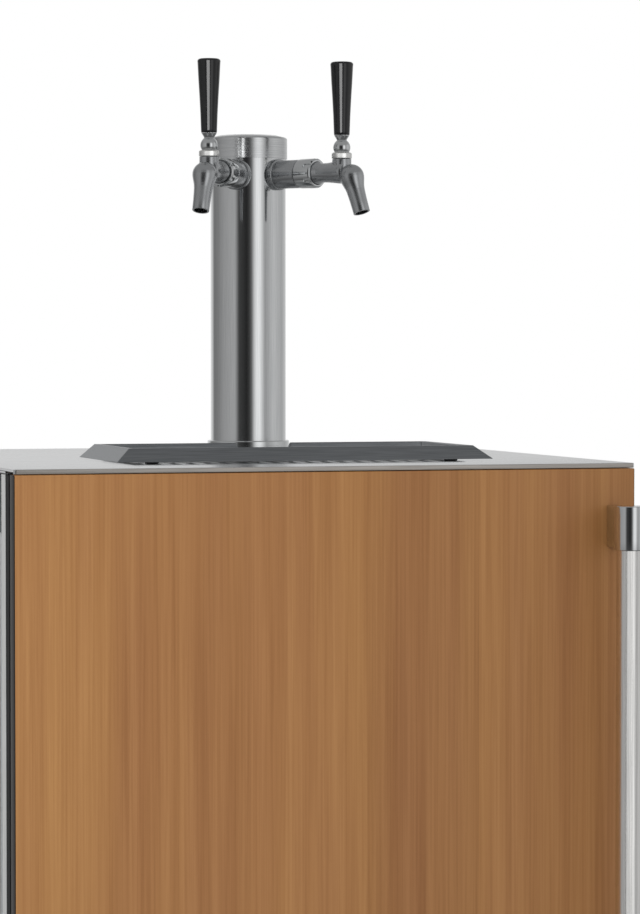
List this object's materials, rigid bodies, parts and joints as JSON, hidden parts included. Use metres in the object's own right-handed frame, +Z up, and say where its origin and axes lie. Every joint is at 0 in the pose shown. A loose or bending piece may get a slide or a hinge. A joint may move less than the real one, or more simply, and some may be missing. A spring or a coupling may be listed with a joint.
{
  "type": "draft beer dispenser",
  "caption": "Under-counter refrigerated beer cabinet with a hinged wood-faced door, bar handle, steel top, drip tray and a slim column tower with splayed taps.",
  "frame": {"origin": "on the floor, at the middle of the width and of the whole depth from the handle's front to the back edge", "axes": "+Z up along the height, +Y from the door to the back, +X to the right seen from the front"},
  "size_m": [0.606, 0.656, 1.2575],
  "materials": {
    "side_steel": "satin",
    "brushed_stainless": "satin",
    "liner_stainless": "satin",
    "tower_stainless": "polished",
    "tray_steel": "satin",
    "handle_steel": "satin",
    "galvanised_steel": "satin",
    "chrome": "polished",
    "aluminium": "satin",
    "brass": "satin",
    "black_enamel": "satin",
    "black_gloss": "gloss",
    "black_moulded": "matte",
    "white_moulded": "satin",
    "black_rubber": "matte",
    "grey_gasket": "matte",
    "wood_veneer": "satin",
    "foam": "matte",
    "beer_hose": "satin",
    "gas_hose": "satin"
  },
  "bodies": {
    "cabinet": {"side_panel_left": "side_steel", "side_panel_right": "side_steel", "top_panel": "brushed_stainless", "back_panel": "galvanised_steel", "cabinet_insulation": "foam", "cabinet_liner": "liner_stainless", "base_pan": "galvanised_steel", "toe_grille": "black_enamel", "compressor": "black_enamel", "condenser": "aluminium", "evaporator_housing": "white_moulded", "hinge_top": "brushed_stainless", "hinge_bottom": "brushed_stainless", "tray_pan": "tray_steel", "tray_foot_front_left": "black_rubber", "tray_foot_front_right": "black_rubber", "tray_foot_rear_left": "black_rubber", "tray_foot_rear_right": "black_rubber", "tower_column": "tower_stainless", "tower_cap": "tower_stainless", "tower_flange": "chrome", "beer_line_left": "beer_hose", "beer_line_right": "beer_hose", "shank_left": "chrome", "shank_right": "chrome", "coupling_nut_left": "chrome", "coupling_nut_right": "chrome", "faucet_body_left": "chrome", "faucet_body_right": "chrome", "faucet_bonnet_left": "chrome", "faucet_bonnet_right": "chrome", "gas_cylinder": "aluminium", "regulator": "brass", "gas_line_left": "gas_hose", "gas_line_right": "gas_hose", "keg_coupler_left": "chrome", "keg_coupler_right": "chrome"},
    "door": {"door_shell": "side_steel", "door_insulation": "foam", "door_liner": "liner_stainless", "door_gasket": "grey_gasket", "wood_panel": "wood_veneer", "handle_bar": "handle_steel", "handle_bracket_top": "chrome", "handle_bracket_bottom": "chrome"},
    "tap_left": {"tap_lever_left": "chrome", "tap_handle_left": "black_gloss"},
    "tap_right": {"tap_lever_right": "chrome", "tap_handle_right": "black_gloss"},
    "grate": {"tray_grate": "tray_steel"},
    "handwheel": {"valve_handwheel": "black_moulded"},
    "pressure_knob": {"regulator_knob": "black_moulded"},
    "coupler_lever_left": {"coupler_handle_left": "black_moulded"},
    "coupler_lever_right": {"coupler_handle_right": "black_moulded"},
    "evaporator_wheel": {"evaporator_fan": "black_moulded"},
    "condenser_wheel": {"condenser_fan": "black_moulded"},
    "leg_front_left": {"leveling_leg_front_left": "galvanised_steel"},
    "leg_front_right": {"leveling_leg_front_right": "galvanised_steel"},
    "leg_rear_left": {"leveling_leg_rear_left": "galvanised_steel"},
    "leg_rear_right": {"leveling_leg_rear_right": "galvanised_steel"}
  },
  "joints": [
    {"name": "door_swing", "type": "hinge", "parent": "cabinet", "child": "door", "pos_m": [-0.29, -0.216, 0.48], "axis": [0, 0, -1], "range_deg": [0, 100]},
    {"name": "tap_left_pull", "type": "hinge", "parent": "cabinet", "child": "tap_left", "pos_m": [-0.06808, -0.07508, 1.1728], "axis": [0.832, -0.5548, 0], "range_deg": [0, 42]},
    {"name": "tap_right_pull", "type": "hinge", "parent": "cabinet", "child": "tap_right", "pos_m": [0.06808, -0.07508, 1.1728], "axis": [0.832, 0.5548, 0], "range_deg": [0, 42]},
    {"name": "grate_lift", "type": "slide", "parent": "cabinet", "child": "grate", "axis": [0, 0, 1], "range_m": [0, 0.03]},
    {"name": "cylinder_valve_turn", "type": "hinge", "parent": "cabinet", "child": "handwheel", "pos_m": [-0.19, 0.18, 0.687], "axis": [0, 0, 1], "range_deg": [0, 540]},
    {"name": "pressure_set_turn", "type": "hinge", "parent": "cabinet", "child": "pressure_knob", "pos_m": [-0.114, 0.149, 0.66082], "axis": [0, 1, 0], "range_deg": [0, 720]},
    {"name": "coupler_left_press", "type": "hinge", "parent": "cabinet", "child": "coupler_lever_left", "pos_m": [0.01032, 0.175, 0.392], "axis": [1, 0, 0], "range_deg": [0, 80]},
    {"name": "coupler_right_press", "type": "hinge", "parent": "cabinet", "child": "coupler_lever_right", "pos_m": [0.13932, 0.175, 0.392], "axis": [1, 0, 0], "range_deg": [0, 80]},
    {"name": "evaporator_fan_spin", "type": "hinge", "parent": "cabinet", "child": "evaporator_wheel", "pos_m": [0, 0.2527, 0.705], "axis": [0, 1, 0], "continuous": true},
    {"name": "condenser_fan_spin", "type": "hinge", "parent": "cabinet", "child": "condenser_wheel", "pos_m": [0.13938, 0.22, 0.148], "axis": [0, 1, 0], "continuous": true},
    {"name": "leg_front_left_level", "type": "slide", "parent": "cabinet", "child": "leg_front_left", "axis": [0, 0, -1], "range_m": [0, 0.02]},
    {"name": "leg_front_right_level", "type": "slide", "parent": "cabinet", "child": "leg_front_right", "axis": [0, 0, -1], "range_m": [0, 0.02]},
    {"name": "leg_rear_left_level", "type": "slide", "parent": "cabinet", "child": "leg_rear_left", "axis": [0, 0, -1], "range_m": [0, 0.02]},
    {"name": "leg_rear_right_level", "type": "slide", "parent": "cabinet", "child": "leg_rear_right", "axis": [0, 0, -1], "range_m": [0, 0.02]}
  ]
}
